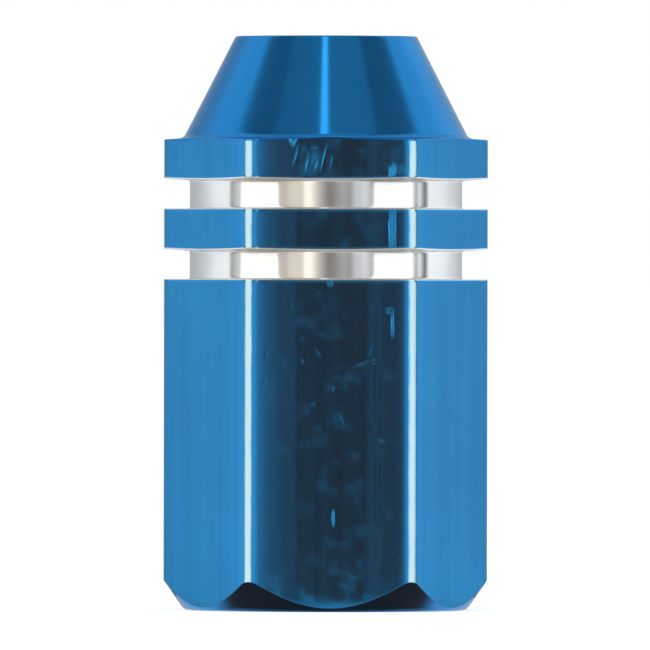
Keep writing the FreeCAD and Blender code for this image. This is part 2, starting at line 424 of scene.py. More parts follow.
def markGroup():
    # The height of one small dent or scratch, its depth in the middle and 0 outside it
    tree = bpy.data.node_groups.new("dent", "ShaderNodeTree")
    addSockets(tree, "INPUT", {
        "Place": "Vector", "Centre": "Vector", "Half Size": "Vector", "Tilt": "Float", "Depth": "Float"})
    addSockets(tree, "OUTPUT", {"Height": "Float"})
    given = addNode(tree, "NodeGroupInput")
    offset = addNode(tree, "ShaderNodeVectorMath", {0: given.outputs[0], 1: given.outputs[1]}, operation="SUBTRACT")
    turnedOffset = addNode(tree, "ShaderNodeVectorRotate", {"Vector": offset, "Angle": given.outputs[3]},
                           rotation_type="Y_AXIS")
    scaled = addNode(tree, "ShaderNodeVectorMath", {0: turnedOffset, 1: given.outputs[2]}, operation="DIVIDE")
    distance = addNode(tree, "ShaderNodeVectorMath", {0: scaled}, operation="LENGTH")
    inside = addNode(tree, "ShaderNodeMapRange", {0: distance.outputs["Value"], 3: 1.0, 4: 0.0},
                     interpolation_type="SMOOTHSTEP")
    height = addNode(tree, "ShaderNodeMath", {0: inside, 1: given.outputs[4]}, operation="MULTIPLY")
    addNode(tree, "NodeGroupOutput", {0: height})
    return tree


# Anodised aluminium, drawn bar: a dyed, nearly clear oxide over bright metal. The eye gets a deep blue mirror
# with fine lines along the bar, faint waves from polishing, paler long corners and a few dents from handling. The
# pale corners are partly rubbed oxide and partly a painted highlight, whitest where the soft boxes shine on them
drawnFinish = {
    "colour": "#1a87c0",
    "paleColour": "#1f8cc5",
    "deepColour": "#1782ba",
    "slantColour": "#bce6ff",     # seen at a slant the dye is as deep as ever, so the metal hardly pales
    # the long corners' colour: the oxide rubbed thin there, made paler still as a painted highlight
    "wornAndHighlightColour": "#a4c0c5",
    "roughness": (0.055, 0.075),
    # relief in mm: width across the bar, length along it, depth, and detail of its noise
    "relief": [
        (0.13, 14.0, 0.0003, 3.0),      # the die's lines that show
        (0.045, 5.0, 0.00006, 2.0),     # the real lines are finer, these are as fine as the render shows
        (1.1, 2.42, 0.0007, 1.0),       # waves from polishing
        (0.42, 0.546, 0.0005, 4.0),     # specks
    ],
    "pitSize": 0.625,             # small knocks that are scattered over every flat
    "pitDepth": 0.0016,
    "pitShare": (0.62, 0.8),
    "scuffSize": 0.75,            # patches where handling has dulled the polish
    "scuffShare": (0.48, 0.72),
    "scuffRoughness": 0.075,
    "scuffPlace": 3.7,            # another number lays the patches elsewhere
    "dentWarp": 0.03,             # mm, how ragged the dents are
    "dentWarpScale": 3.5,         # waves of it in a mm
    "blotchScale": 0.28,          # how the dye's depth wanders, in waves in a mm, and its streaks along the bar
    "streakScale": (2.4, 2.4, 0.06),
    "dyeRange": (0.36, 0.5, 0.64),
    "rubAndHighlightScale": 1.6,              # how ragged the rubbed corners and their painted highlight are, and how much of a corner is rubbed and painted pale
    "rubAndHighlightRagged": 0.22,
    "wornAndHighlightWidth": (0.66, 0.91),
    "oxideWeight": 0.15,          # the clear oxide's own reflection, and its refractive index
    "oxideRoughness": 0.35,
    "oxideIOR": 1.77,
    "dustWeight": 0.055,          # a thin film of dust and handling over it
    "dustRoughness": 0.8,
    # dents on the front flat: across, up, half width, half length, tilt in degrees, depth in mm
    "dents": [
        # a bright knock low on the body, and a hooked scratch under the lower groove
        (0.10, 3.24, 0.07, 0.36, 0, 0.016), (2.14, 9.95, 0.07, 0.6, 0, 0.016), (2.06, 10.42, 0.2, 0.14, 0, 0.008),
        # faint knocks over the body
        (1.37, 9.03, 0.07, 0.5, -16, 0.0025), (1.10, 8.58, 0.07, 0.45, -70, 0.0025),
        (1.50, 8.66, 0.15, 0.13, 0, 0.003), (-1.37, 10.6, 0.12, 0.12, 0, 0.0018),
        (-0.99, 9.45, 0.13, 0.11, 0, 0.0018), (-0.31, 9.6, 0.11, 0.1, 0, 0.0016),
        (-0.45, 8.95, 0.07, 0.28, 30, 0.002), (-0.99, 8.65, 0.1, 0.13, 0, 0.0024),
        (0.07, 7.7, 0.09, 0.12, 0, 0.0026), (-0.62, 7.17, 0.14, 0.12, 0, 0.002),
        (0.34, 6.7, 0.08, 0.28, 30, 0.0024), (-0.45, 6.3, 0.2, 0.18, 20, 0.002),
        # a chip at the lower groove's lip, and long shallow marks beside the right corner
        (-0.03, 11.4, 0.14, 0.2, 0, 0.009),
        (1.78, 5.9, 0.2, 0.08, 0, 0.0026), (1.42, 6.45, 0.16, 0.6, 6, 0.002), (1.62, 6.0, 0.2, 6.2, 0, 0.002),
        # slanting scratches and worn hollows on the collar
        (-1.23, 15.79, 0.05, 0.56, -15, 0.006), (-0.84, 15.52, 0.05, 0.46, -11, 0.006),
        (-0.27, 15.70, 0.05, 0.68, -13, 0.006), (-0.58, 16.05, 0.14, 0.05, 0, 0.005),
        (-0.8, 15.6, 0.5, 0.8, -10, 0.014), (2.45, 15.6, 0.55, 0.7, 0, 0.012),
        (-0.55, 15.45, 0.06, 0.3, -24, 0.005), (-0.05, 15.55, 0.12, 0.4, -10, 0.004),
        (-0.95, 15.85, 0.2, 0.3, -14, 0.003),
        # the pale streak down the collar and the band, a few scratches side by side on each
        (2.05, 15.15, 0.06, 0.36, 2, 0.017), (2.14, 15.2, 0.06, 0.46, 0, 0.02),
        (2.23, 15.3, 0.05, 0.3, -3, 0.013), (1.9, 15.55, 0.35, 0.45, 0, 0.004),
        (2.05, 13.2, 0.06, 1.1, 0, 0.018), (2.13, 13.25, 0.06, 1.2, 0, 0.021), (2.21, 13.3, 0.06, 1.1, 0, 0.018),
    ],
}


def makeDrawn():
    f = drawnFinish
    material, tree = startMaterial("anodised aluminium, drawn bar")
    place = placeInMm(tree)
    height = None
    for width, length, depth, detail in f["relief"]:
        stretched = addNode(tree, "ShaderNodeMapping",
                            {"Vector": place, "Scale": (1 / width, 1 / width, 1 / length)})
        noise = addNode(tree, "ShaderNodeTexNoise", {"Vector": stretched, "Scale": 1.0, "Detail": detail})
        height = addNode(tree, "ShaderNodeMath", {0: noise, 1: depth, 2: height if height else 0.0},
                         operation="MULTIPLY_ADD")
    warpNoise = addNode(tree, "ShaderNodeTexNoise", {"Vector": place, "Scale": f["dentWarpScale"], "Detail": 1.0})
    warp = addNode(tree, "ShaderNodeVectorMath", {0: warpNoise.outputs["Color"], 1: (0.5,) * 3}, operation="SUBTRACT")
    bent = addNode(tree, "ShaderNodeVectorMath", {0: warp, 1: (f["dentWarp"] * 2,) * 3, 2: place},
                   operation="MULTIPLY_ADD")
    dents = None
    group = markGroup()
    for across, up, halfWidth, halfLength, tilt, depth in f["dents"]:
        dent = addNode(tree, "ShaderNodeGroup", {
            "Place": bent, "Centre": (across, -cap["flatDistance"], up), "Half Size": (halfWidth, 1.0, halfLength),
            "Tilt": math.radians(tilt), "Depth": depth}, node_tree=group)
        dents = addNode(tree, "ShaderNodeMath", {0: dents, 1: dent}, operation="ADD") if dents else dent
    height = addNode(tree, "ShaderNodeMath", {0: height, 1: dents}, operation="SUBTRACT")
    pitNoise = addNode(tree, "ShaderNodeTexNoise", {"Vector": place, "Scale": 1 / f["pitSize"], "Detail": 5.0})
    pits = addNode(tree, "ShaderNodeMapRange", {
        0: pitNoise, 1: f["pitShare"][0], 2: f["pitShare"][1], 3: 0.0, 4: -f["pitDepth"]},
        interpolation_type="SMOOTHSTEP")
    height = addNode(tree, "ShaderNodeMath", {0: height, 1: pits}, operation="ADD")
    bump = addNode(tree, "ShaderNodeBump", {"Strength": 1.0, "Distance": mm, "Height": height})

    blotch = addNode(tree, "ShaderNodeTexNoise", {"Vector": place, "Scale": f["blotchScale"], "Detail": 3.0})
    streaks = addNode(tree, "ShaderNodeTexNoise", {
        "Vector": addNode(tree, "ShaderNodeMapping", {"Vector": place, "Scale": f["streakScale"]}),
        "Scale": 1.0, "Detail": 2.0})
    amount = addNode(tree, "ShaderNodeMix", {"Factor": 0.5, "A": blotch, "B": streaks})
    dye = addNode(tree, "ShaderNodeValToRGB", {"Fac": amount})
    dye.color_ramp.elements.new(0.5)
    for stop, position, shade in zip(dye.color_ramp.elements, f["dyeRange"], ("deepColour", "colour", "paleColour")):
        stop.position, stop.color = position, toLinear(f[shade])
    # the corners' wear and painted highlight, from the mesh
    wearAndHighlight = addNode(tree, "ShaderNodeAttribute", attribute_name="cornerWearAndHighlight")
    rubbedAndHighlighted = addNode(tree, "ShaderNodeTexNoise", {"Vector": place, "Scale": f["rubAndHighlightScale"], "Detail": 3.0})
    ragged = addNode(tree, "ShaderNodeMath", {0: rubbedAndHighlighted, 1: f["rubAndHighlightRagged"], 2: wearAndHighlight.outputs["Fac"]},
                     operation="MULTIPLY_ADD")
    highlightAndRubShare = addNode(tree, "ShaderNodeMapRange", {0: ragged, 1: f["wornAndHighlightWidth"][0], 2: f["wornAndHighlightWidth"][1]})
    colour = addNode(tree, "ShaderNodeMixRGB", {"Fac": highlightAndRubShare, "Color1": dye, "Color2": toLinear(f["wornAndHighlightColour"])})
    rough = addNode(tree, "ShaderNodeMapRange", {
        0: streaks, 1: usualNoise[0], 2: usualNoise[1], 3: f["roughness"][0], 4: f["roughness"][1]})
    scuffNoise = addNode(tree, "ShaderNodeTexNoise", {
        "Vector": place, "W": f["scuffPlace"], "Scale": 1 / f["scuffSize"], "Detail": 6.0}, noise_dimensions="4D")
    scuffs = addNode(tree, "ShaderNodeMapRange", {
        0: scuffNoise, 1: f["scuffShare"][0], 2: f["scuffShare"][1], 3: 0.0, 4: f["scuffRoughness"]},
        interpolation_type="SMOOTHSTEP")
    dulled = addNode(tree, "ShaderNodeMath", {0: rough, 1: scuffs}, operation="ADD")
    shader = addNode(tree, "ShaderNodeBsdfPrincipled", {
        "Base Color": colour, "Metallic": 1.0, "Roughness": dulled, "Normal": bump, **oxideAndDust(f)})
    endMaterial(tree, shader)
    return material


# Anodised aluminium, turned: the same dyed oxide over faced and turned metal. Fine rings about the axis, from
# the tool's feed, spread each reflection a little up and down
turnedFinish = {
    "colour": "#1282c2",
    "deepColour": "#107dbd",
    "slantColour": "#d2eeff",
    "roughness": (0.1, 0.15),
    "anisotropy": 0.35,           # with the rings' own relief, it blurs along the axis
    "ringWidth": 0.09,            # mm of feed, drawn a little coarser than the real 0.05 to show
    "ringDepth": 0.00018,
    "grainSize": 0.07,
    "grainDepth": 0.0004,
    "waveSize": 1.4,
    "waveDepth": 0.0008,
    "ringTone": 0.0,               # how much the colour's depth follows the rings, darker where the rings are cut lower
    "blotchSize": 2.0,            # the rest of it wanders in blotches of about this size
    "oxideWeight": 0.12,
    "oxideRoughness": 0.1,
    "oxideIOR": 1.77,
    "dustWeight": 0.02,
    "dustRoughness": 0.8,
}

# The same at the mouth, dulled by fingers and by the bench it stands on
dullFinish = {**turnedFinish, "oxideWeight": 0.3, "oxideRoughness": 0.35, "dustWeight": 0.06}

# Anodised aluminium, faced: the ends, where the tool's feed runs inwards and draws rings about the middle, so that
# a lamp spreads into a fan
facedFinish = {
    **turnedFinish,
    "colour": "#1b84c3",
    "deepColour": "#1470a8",
    "roughness": (0.16, 0.24),
    "anisotropy": 0.85,
    "ringWidth": 0.11,
    "ringDepth": 0.0016,
    "grainSize": 0.08,
    "grainDepth": 0.0003,
    "waveSize": 1.2,
    "ringTone": 0.5,
    "oxideWeight": 0.1,
    "oxideRoughness": 0.25,
    "dustWeight": 0.05,
}

# Bare aluminium, turned after anodising: silver, with rings that blur reflections along the axis
bareFinish = {
    **turnedFinish,
    "colour": "#ecebe6",
    "deepColour": "#e0dfda",
    "slantColour": "#ffffff",
    "roughness": (0.16, 0.2),
    "anisotropy": 1.0,
    "ringWidth": 0.075,
    "ringDepth": 0.0009,
    "grainSize": 0.05,
    "grainDepth": 0.00004,
    "waveSize": 0.7,
    "ringTone": 0.15,
    "oxideWeight": 0.0,
    "oxideRoughness": 0.2,
    "dustWeight": 0.03,
}


def makeTurned(name, f):
    material, tree = startMaterial(name)
    place = placeInMm(tree)
    # the tool's travel: down the outside and inwards over the ends
    parts = addNode(tree, "ShaderNodeSeparateXYZ", {0: place})
    flatPlace = addNode(tree, "ShaderNodeCombineXYZ", {0: parts.outputs[0], 1: parts.outputs[1]})
    radius = addNode(tree, "ShaderNodeVectorMath", {0: flatPlace}, operation="LENGTH")
    doubled = addNode(tree, "ShaderNodeMath", {0: parts.outputs[2], 1: 2.0}, operation="MULTIPLY")
    travel = addNode(tree, "ShaderNodeMath", {0: doubled, 1: radius.outputs["Value"]}, operation="SUBTRACT")
    feed = addNode(tree, "ShaderNodeMath", {0: travel, 1: 1 / f["ringWidth"]}, operation="MULTIPLY")
    rings = addNode(tree, "ShaderNodeTexNoise", {"W": feed, "Scale": 1.0, "Detail": 2.0}, noise_dimensions="1D")
    wave = addNode(tree, "ShaderNodeTexNoise", {"Vector": place, "Scale": 1 / f["waveSize"], "Detail": 2.0})
    ringHeight = addNode(tree, "ShaderNodeMath", {0: rings, 1: f["ringDepth"]}, operation="MULTIPLY")
    grain = addNode(tree, "ShaderNodeTexNoise", {"Vector": place, "Scale": 1 / f["grainSize"], "Detail": 1.0})
    fine = addNode(tree, "ShaderNodeMath", {0: grain, 1: f["grainDepth"], 2: ringHeight}, operation="MULTIPLY_ADD")
    height = addNode(tree, "ShaderNodeMath", {0: wave, 1: f["waveDepth"], 2: fine}, operation="MULTIPLY_ADD")
    bump = addNode(tree, "ShaderNodeBump", {"Strength": 1.0, "Distance": mm, "Height": height})
    blotch = addNode(tree, "ShaderNodeTexNoise", {"Vector": place, "Scale": 1 / f["blotchSize"], "Detail": 4.0})
    # the colour is deeper in blotches and, by the ring tone's share, where the rings are lower
    depth = addNode(tree, "ShaderNodeMix", {"Factor": f["ringTone"], "A": blotch, "B": rings})
    share = addNode(tree, "ShaderNodeMapRange", {0: depth, 1: 0.35, 2: 0.65})
    colour = addNode(tree, "ShaderNodeMixRGB",
                     {"Fac": share, "Color1": toLinear(f["deepColour"]), "Color2": toLinear(f["colour"])})
    rough = addNode(tree, "ShaderNodeMapRange", {
        0: rings, 1: usualNoise[0], 2: usualNoise[1], 3: f["roughness"][0], 4: f["roughness"][1]})
    tangent = addNode(tree, "ShaderNodeTangent", direction_type="RADIAL", axis="Z")
    shader = addNode(tree, "ShaderNodeBsdfPrincipled", {
        "Base Color": colour, "Metallic": 1.0, "Roughness": rough, "Normal": bump, "Tangent": tangent,
        "Anisotropic": f["anisotropy"], "Anisotropic Rotation": 0.25, **oxideAndDust(f)})
    endMaterial(tree, shader)
    return material


drawnMetal = makeDrawn()
turnedMetal = makeTurned("anodised aluminium, turned", turnedFinish)
bareMetal = makeTurned("bare aluminium, turned", bareFinish)
facedMetal = makeTurned("anodised aluminium, faced", facedFinish)
dullMetal = makeTurned("anodised aluminium, turned and dulled", dullFinish)

capBody = addPiece("capBody", capMesh(), [drawnMetal, turnedMetal, bareMetal, facedMetal, dullMetal])
print("cap body:", len(capBody.data.polygons), "faces")


# The valve thread, 32 turns an inch, cut right-handed. A trapezoid ridge follows a spiral up the bore, dies out
# at both ends and is cut back by the lead-in at the mouth
thread = {
    "pitch": 25.4 / 32,
    "crestRadius": 3.45,
    "rootRadius": 3.96,           # a little inside the wall of the bore, so the two join
    "crestWidth": 0.13,
    "start": 0.3,
    "end": 10.62,
    "taper": 0.5,                 # turns over which the ridge dies out
    "leadInGap": 0.01,            # between the cut-back ridge and the lead-in's cone
    "pointsPerTurn": 96,
    "sharpAngle": 35.0,
}

# Anodised aluminium, threaded: the tap leaves the flanks smooth and slightly torn along the cut
threadFinish = {
    **turnedFinish,
    "colour": "#1a7fbb",
    "deepColour": "#166fa8",
    "slantColour": "#bce6ff",
    "roughness": (0.16, 0.28),
    "anisotropy": 0.3,
    "ringWidth": 0.06,
    "ringDepth": 0.0004,
    "grainSize": 0.06,
    "waveSize": 0.35,
    "waveDepth": 0.0012,
    "oxideWeight": 0.2,
    "oxideRoughness": 0.2,
    "dustWeight": 0.08,
}


def threadTree():
    tree = bpy.data.node_groups.new("threadRidge", "GeometryNodeTree")
    addSockets(tree, "INPUT", {
        "Geometry": "Geometry", "Pitch": "Float", "Crest Radius": "Float", "Root Radius": "Float",
        "Crest Width": "Float", "Start": "Float", "End": "Float", "Taper": "Float", "Lead In Radius": "Float",
        "Points Per Turn": "Int", "Material": "Material"})
    addSockets(tree, "OUTPUT", {"Geometry": "Geometry"})
    given = addNode(tree, "NodeGroupInput").outputs
    depth = addNode(tree, "ShaderNodeMath", {0: given["Root Radius"], 1: given["Crest Radius"]}, operation="SUBTRACT")
    spread = addNode(tree, "ShaderNodeMath", {0: depth, 1: 2 * math.tan(math.radians(30))}, operation="MULTIPLY")
    baseWidth = addNode(tree, "ShaderNodeMath", {0: spread, 1: given["Crest Width"]}, operation="ADD")
    rise = addNode(tree, "ShaderNodeMath", {0: given["End"], 1: given["Start"]}, operation="SUBTRACT")
    turns = addNode(tree, "ShaderNodeMath", {0: rise, 1: given["Pitch"]}, operation="DIVIDE")
    # reversed, the spiral is right-handed
    spiral = addNode(tree, "GeometryNodeCurveSpiral", {
        "Resolution": given["Points Per Turn"], "Rotations": turns, "Start Radius": given["Root Radius"],
        "End Radius": given["Root Radius"], "Height": rise, "Reverse": True})
    lifted = addNode(tree, "GeometryNodeSetPosition", {
        "Geometry": spiral, "Offset": addNode(tree, "ShaderNodeCombineXYZ", {2: given["Start"]})})
    upright = addNode(tree, "GeometryNodeSetCurveNormal", {"Curve": lifted}, mode="Z_UP")
    # the ridge fades out at its two ends
    along = addNode(tree, "GeometryNodeSplineParameter").outputs["Factor"]
    fromEnd = addNode(tree, "ShaderNodeMath", {0: 1.0, 1: along}, operation="SUBTRACT")
    nearest = addNode(tree, "ShaderNodeMath", {0: along, 1: fromEnd}, operation="MINIMUM")
    inTurns = addNode(tree, "ShaderNodeMath", {0: nearest, 1: turns}, operation="MULTIPLY")
    fade = addNode(tree, "ShaderNodeMapRange", {0: inTurns, 2: given["Taper"], 3: 0.25})
    profile = addNode(tree, "GeometryNodeCurvePrimitiveQuadrilateral", {
        "Height": depth, "Bottom Width": baseWidth, "Top Width": given["Crest Width"], "Offset": 0.0},
        mode="TRAPEZOID")
    inwards = addNode(tree, "ShaderNodeCombineXYZ", {
        0: addNode(tree, "ShaderNodeMath", {0: depth, 1: -0.5}, operation="MULTIPLY")})
    facing = addNode(tree, "GeometryNodeTransform", {
        "Geometry": profile, "Rotation": (0, 0, math.radians(90)), "Translation": inwards})
    ridge = addNode(tree, "GeometryNodeCurveToMesh", {
        "Curve": upright, "Profile Curve": facing, "Scale": fade, "Fill Caps": True})
    # the lead-in cone cuts the first turn back: no point is nearer the axis than the cone is
    place = addNode(tree, "GeometryNodeInputPosition")
    parts = addNode(tree, "ShaderNodeSeparateXYZ", {0: place})
    level = addNode(tree, "ShaderNodeCombineXYZ", {0: parts.outputs[0], 1: parts.outputs[1]})
    radius = addNode(tree, "ShaderNodeVectorMath", {0: level}, operation="LENGTH").outputs["Value"]
    cone = addNode(tree, "ShaderNodeMath", {0: given["Lead In Radius"], 1: parts.outputs[2]}, operation="SUBTRACT")
    allowed = addNode(tree, "ShaderNodeMath", {0: radius, 1: cone}, operation="MAXIMUM")
    factor = addNode(tree, "ShaderNodeMath", {0: allowed, 1: radius}, operation="DIVIDE")
    pushed = addNode(tree, "ShaderNodeVectorMath", {0: level, "Scale": factor}, operation="SCALE")
    placed = addNode(tree, "ShaderNodeVectorMath", {
        0: pushed, 1: addNode(tree, "ShaderNodeCombineXYZ", {2: parts.outputs[2]})}, operation="ADD")
    cut = addNode(tree, "GeometryNodeSetPosition", {"Geometry": ridge, "Position": placed})
    real = addNode(tree, "GeometryNodeRealizeInstances", {"Geometry": cut})
    dressed = addNode(tree, "GeometryNodeSetMaterial", {"Geometry": real, "Material": given["Material"]})
    addNode(tree, "NodeGroupOutput", {0: dressed})
    return tree


def bakeTree(name, tree, values, sharpAngle):
    # Runs a tree on an empty mesh and keeps its result as a plain mesh
    holder = addObject(name, bpy.data.meshes.new(name))
    modifier = holder.modifiers.new("tree", "NODES")
    modifier.node_group = tree
    sockets = {item.name: item.identifier for item in tree.interface.items_tree if item.in_out == "INPUT"}
    for socket, value in values.items():
        modifier[sockets[socket]] = value
    evaluated = holder.evaluated_get(bpy.context.evaluated_depsgraph_get())
    mesh = bpy.data.meshes.new_from_object(evaluated)
    holder.modifiers.remove(modifier)
    holder.data = mesh
    mesh.shade_smooth()
    mesh.set_sharp_from_angle(angle=math.radians(sharpAngle))
    return holder


threadMetal = makeTurned("anodised aluminium, threaded", threadFinish)
valveThread = bakeTree("valveThread", threadTree(), {
    "Pitch": thread["pitch"] * mm, "Crest Radius": thread["crestRadius"] * mm,
    "Root Radius": thread["rootRadius"] * mm, "Crest Width": thread["crestWidth"] * mm,
    "Start": thread["start"] * mm, "End": thread["end"] * mm, "Taper": thread["taper"],
    "Lead In Radius": (cap["leadInRadius"] + thread["leadInGap"]) * mm,
    "Points Per Turn": thread["pointsPerTurn"], "Material": threadMetal}, thread["sharpAngle"])
print("valve thread:", len(valveThread.data.polygons), "faces")


# The rubber ring that seals on the valve stem, with the dished mark that the stem leaves in its face
seal = {"outer": 3.95, "inner": 1.6, "foot": 10.7, "middle": 11.35, "top": 11.98, "corner": 0.18, "columns": 96,
        "dishRadius": 2.6, "dishDepth": 0.06, "dishWidth": 0.55, "dishRows": 26}

# Nitrile rubber, moulded: dull black, with the fine grain of the mould and a paler bloom on it
rubberFinish = {"colour": "#1c1d1f", "bloomColour": "#34363a", "bloomScale": 0.9, "bloomShare": (0.45, 0.75),
                "roughness": 0.62, "grainSize": 0.06, "grainDepth": 0.004}


def makeRubber():
    f = rubberFinish
    material, tree = startMaterial("nitrile rubber, moulded")
    place = placeInMm(tree)
    grain = addNode(tree, "ShaderNodeTexNoise", {"Vector": place, "Scale": 1 / f["grainSize"], "Detail": 3.0})
    bump = addNode(tree, "ShaderNodeBump", {"Strength": 1.0, "Distance": mm * f["grainDepth"], "Height": grain})
    bloom = addNode(tree, "ShaderNodeTexNoise", {"Vector": place, "Scale": f["bloomScale"], "Detail": 5.0})
    share = addNode(tree, "ShaderNodeMapRange", {0: bloom, 1: f["bloomShare"][0], 2: f["bloomShare"][1]})
    colour = addNode(tree, "ShaderNodeMixRGB",
                     {"Fac": share, "Color1": toLinear(f["colour"]), "Color2": toLinear(f["bloomColour"])})
    shader = addNode(tree, "ShaderNodeBsdfPrincipled", {
        "Base Color": colour, "Roughness": f["roughness"], "Normal": bump})
    endMaterial(tree, shader)
    return material


def sealMesh():
    outer, inner, corner = seal["outer"], seal["inner"], seal["corner"]
    foot, middle, top = seal["foot"], seal["middle"], seal["top"]
    lip = foot + corner + 0.06
    across = np.linspace(outer - corner, inner + corner, seal["dishRows"])
    dish = seal["dishDepth"] * np.exp(-((across - seal["dishRadius"]) / (0.5 * seal["dishWidth"])) ** 4)
    outline = [(outer, top), (outer, middle), (outer, lip)]
    outline += [(outer - corner + corner * math.cos(t), foot + corner - corner * math.sin(t))
                for t in np.radians(np.linspace(0, 80, 7))]
    outline += list(zip(across, foot + dish))
    outline += [(inner + corner - corner * math.sin(t), foot + corner - corner * math.cos(t))
                for t in np.radians(np.linspace(10, 90, 7))]
    outline += [(inner, lip), (inner, middle), (inner, top)]
    return skinMesh("sealRing", turnedRings(outline, seal["columns"]), closed=True)


sealRing = addPiece("sealRing", sealMesh(), [makeRubber()])
print("seal ring:", len(sealRing.data.polygons), "faces")

for piece, node, finish in (
    (capBody, "cap_body", "anodised_aluminium"),
    (valveThread, None, "anodised_aluminium"),
    (sealRing, "seal_ring", "seal_rubber"),
):
    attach(piece, "root")
    if node:
        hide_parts(node)


# The studio. Azimuths are measured from the camera, to the right, and heights above the horizon, in degrees
studio = {
    "cameraAzimuth": -1.9,
    "cameraDistance": 700.0,      # mm
    "cameraHeight": 12.0,
    "pitch": -0.171,
    "roll": 0.12,
    "lens": 1114.6,
    "shift": (-0.00115, 0.0),
    "clip": (0.01, 20.0),         # metres
    "background": 1.0,
    "ambient": 0.45,
    "floorColour": "#e4e4e2",
    "floorGlow": 0.68,            # added for the camera, so that the bare floor is as white as the background
    "floorHalf": 3000.0,          # mm
    "floorGrainScale": 0.9,       # waves in a mm
    "floorGrainDepth": 0.1,       # mm
    "middleHeight": 10.0,         # mm, the height that the tent and the lamps are set round
    # radius in mm and level of the floor that the sides show, kept small so that it isn't seen edge on
    "nearFloor": [(6.3, 0.04), (7.0, 0.1), (7.9, 0.45), (9.2, 0.62), (12.0, 0.72), (18.0, 0.78), (24.0, 0.78)],
    "nearFloorHeight": -0.02,
    "nearFloorColumns": 96,
    "tentRadius": 620.0,
    "tentStep": (1.0, 2.0),       # degrees round it and up it
    "tentFineStep": 0.2,          # in front, where the flats show it sharply
    "tentFineReach": (-12, 16),
    "coolPaper": "#eff5ff",
    "warmPaper": "#ffecd6",       # to the left of the camera, above and below its own height
    "warmAzimuth": -35.0,
    "warmReach": 70.0,
    "warmHeights": [(2.0, 0.0), (4.0, 1.0), (26.0, 1.0), (32.0, 0.0)],
    # soft boxes and the narrow light above the camera: azimuth, height, width, length, distance, level
    "lights": [
        (-59.0, 13.0, 333.0, 440.0, 500.0, 1.45),
        (59.5, 13.0, 340.0, 440.0, 500.0, 1.45),
        (-2.0, 54.0, 42.0, 170.0, 500.0, 1.6),
    ],
}

# How pale the tent round the object is, as azimuth and level along each of its rows. It is open at the camera, which
# shows dark, and dim at 44 to 75 degrees either side, where the soft boxes stand. A pole stands behind the left
# one, and two behind the right one
farLeft = [
    (-180, 0.5), (-150, 0.58), (-138, 0.68), (-126, 0.86), (-116, 1.08), (-107, 1.2), (-91, 1.25), (-89.8, 1.0),
    (-88.6, 0.0), (-86.3, 0.0), (-85.3, 0.4), (-84, 0.42), (-81, 0.55), (-78, 0.8), (-75, 0.2), (-44, 0.2)]
farRight = [
    (44, 0.2), (75, 0.2), (78, 1.15), (80, 1.2), (81, 0.6), (81.8, 0.0), (84, 0.05), (85.6, 1.15), (87, 1.0),
    (88.6, 0.5), (90.3, 0.05), (92.5, 0.0), (95, 0.1), (97.2, 1.2), (99, 1.52), (103, 1.37), (108, 1.33),
    (115, 1.31), (121, 1.27), (130, 1.17), (144, 0.97), (160, 0.72), (180, 0.5)]
# level with the cap, which is what its flats show
flatsLevel = [
    (-180, 0.5), (-150, 0.6), (-125, 0.76), (-114, 0.94), (-112.5, 1.1), (-96, 1.13), (-90, 1.1), (-84, 1.1),
    (-79, 1.3), (-77, 0.15), (-43, 0.15), (-38, 1.1), (-27, 1.1), (-22, 1.0), (-17, 0.79), (-11, 0.68), (-0.3, 0.5),
    (0.2, 0.33), (0.6, 0.25), (1.4, 0.24), (1.8, 0.14), (2.5, 0.16), (2.9, 0.2), (3.4, 0.12), (3.7, 0.02),
    (4.1, 0.02), (4.8, 0.16), (5.2, 0.21), (5.8, 0.12), (6.4, 0.08), (7.2, 0.09), (7.8, 0.14), (14, 0.28),
    (24, 0.46), (36, 1.0), (43, 0.15), (77, 0.15), (78.5, 1.4), (90, 1.5), (91.5, 0.4), (94.5, 0.4), (96, 1.0),
    (118, 1.0), (120.5, 1.01), (122, 0.93), (124.5, 0.89), (128, 0.8), (142, 0.74), (160, 0.6), (180, 0.5)]
# above and below that, which is what the turned grooves spread their reflections over
grooveLevel = farLeft + [
    (-40, 0.6), (-35.5, 0.52), (-31, 0.88), (-21.7, 0.94), (-19, 1.0), (-17.6, 1.9), (-13, 1.85), (-10.5, 1.4),
    (-9, 1.15), (-4.8, 0.66), (-0.6, 0.36), (3.6, 0.33), (12, 0.56), (16, 0.6), (20, 0.42), (22.5, 0.6),
    (24.7, 0.94), (29, 0.86), (33, 1.06), (37.7, 0.66), (40, 0.5)] + farRight
# below, it is bright behind the object, for the chamfer beside its side flats
lowLevel = [(-180, 0.95), (-150, 1.05), (-118, 1.12)] + [p for p in grooveLevel if abs(p[0]) < 116] + [
    (118, 1.12), (150, 1.05), (180, 0.95)]
tones = {
    -90: [(0, 0.03)],
    -48: [(-180, 0.06), (-150, 0.3), (-118, 0.3), (-107, 0.02), (112, 0.02), (122, 0.3), (150, 0.3), (180, 0.06)],
    -38: [(-180, 0.8), (-150, 1.0), (-118, 1.0), (-106, 0.1), (108, 0.1), (120, 1.0), (150, 1.0), (180, 0.8)],
    -28: lowLevel,
    -4: grooveLevel,
    -2: flatsLevel,
    2: flatsLevel,
    4: grooveLevel,
    24: grooveLevel,
    32: [(-180, 0.6), (-150, 0.75), (-125, 1.0), (-96, 1.05), (-86, 0.45), (-57, 0.36), (-50, 0.45),
         (50, 0.45), (57, 0.36), (90, 0.4), (100, 1.05), (125, 1.0), (150, 0.75), (180, 0.6)],
    50: [(-180, 0.8), (-134, 0.9), (-95, 0.96), (-88, 0.45), (-80, 0.29), (-57, 0.3), (-52, 0.42), (-12, 0.45),
         (12, 0.48), (52, 0.5), (57, 0.3), (84, 0.28), (92, 0.4), (99, 0.97), (134, 0.9), (180, 0.8)],
    72: [(-180, 0.95), (-90, 0.55), (-30, 0.68), (30, 0.68), (90, 0.5), (180, 0.95)],
    90: [(0, 0.66)],
}


